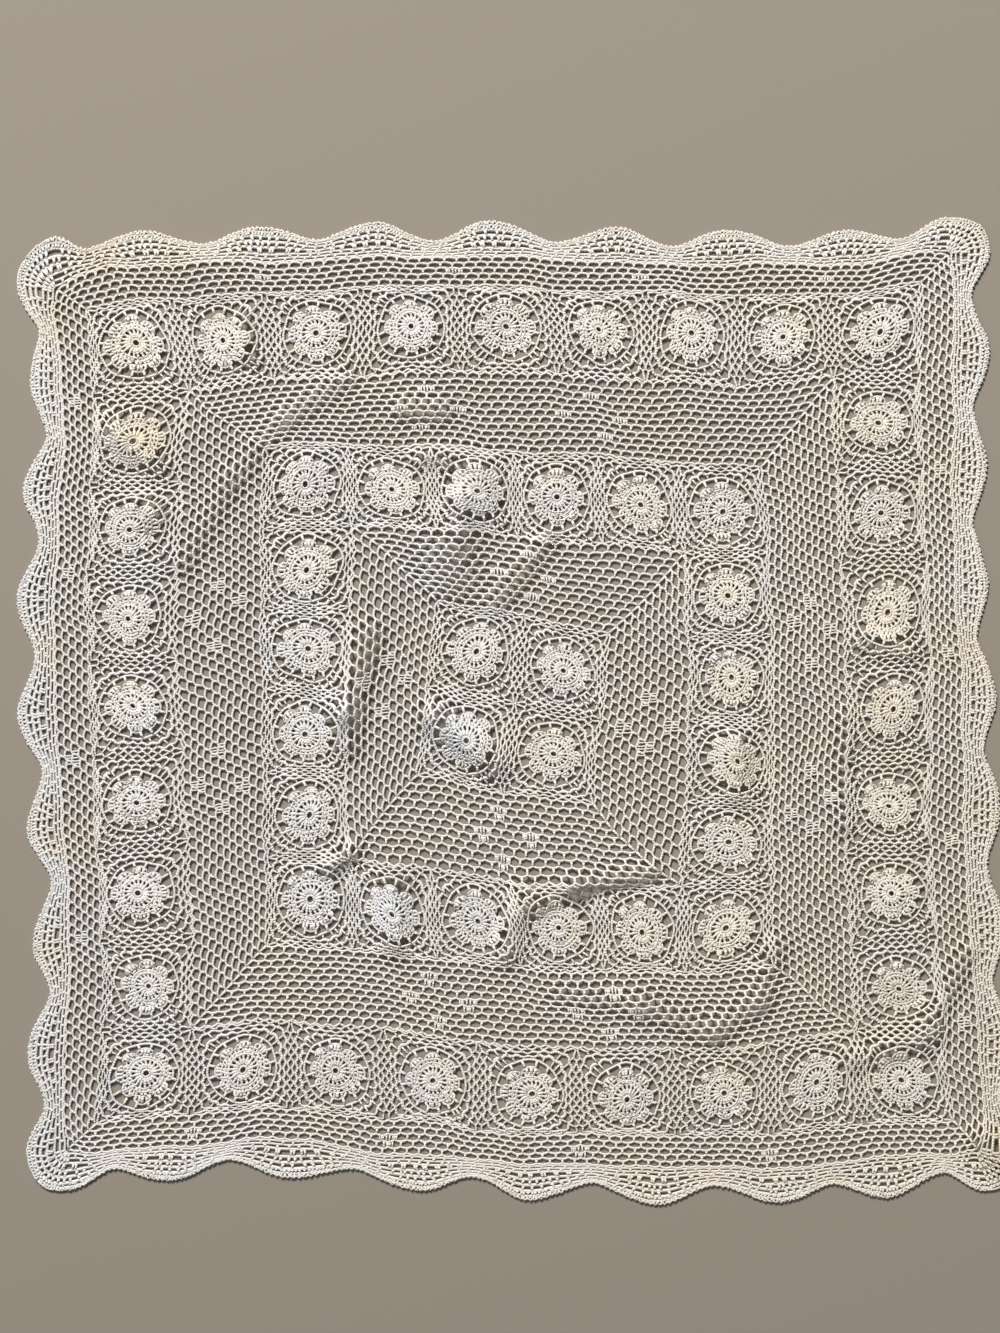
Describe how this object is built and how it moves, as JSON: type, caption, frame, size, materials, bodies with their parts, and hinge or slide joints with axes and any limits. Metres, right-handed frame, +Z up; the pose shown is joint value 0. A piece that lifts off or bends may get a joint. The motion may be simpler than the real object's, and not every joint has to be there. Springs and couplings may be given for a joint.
{
  "type": "crochet table topper",
  "caption": "Square cotton crochet table topper laid flat: flower medallions in rings, open net between them, scalloped edging that swells round the corners, and a few soft folds.",
  "frame": {"origin": "centre of the laid cloth's outline, on the surface that it rests on", "axes": "+Z up from the surface, +Y towards the top of the picture, +X to its right"},
  "size_m": [0.9232, 0.908, 0.0127],
  "materials": {
    "cotton": "matt ecru crochet cotton, a little uneven in colour"
  },
  "bodies": {
    "root": {"topper": "cotton"}
  },
  "joints": []
}
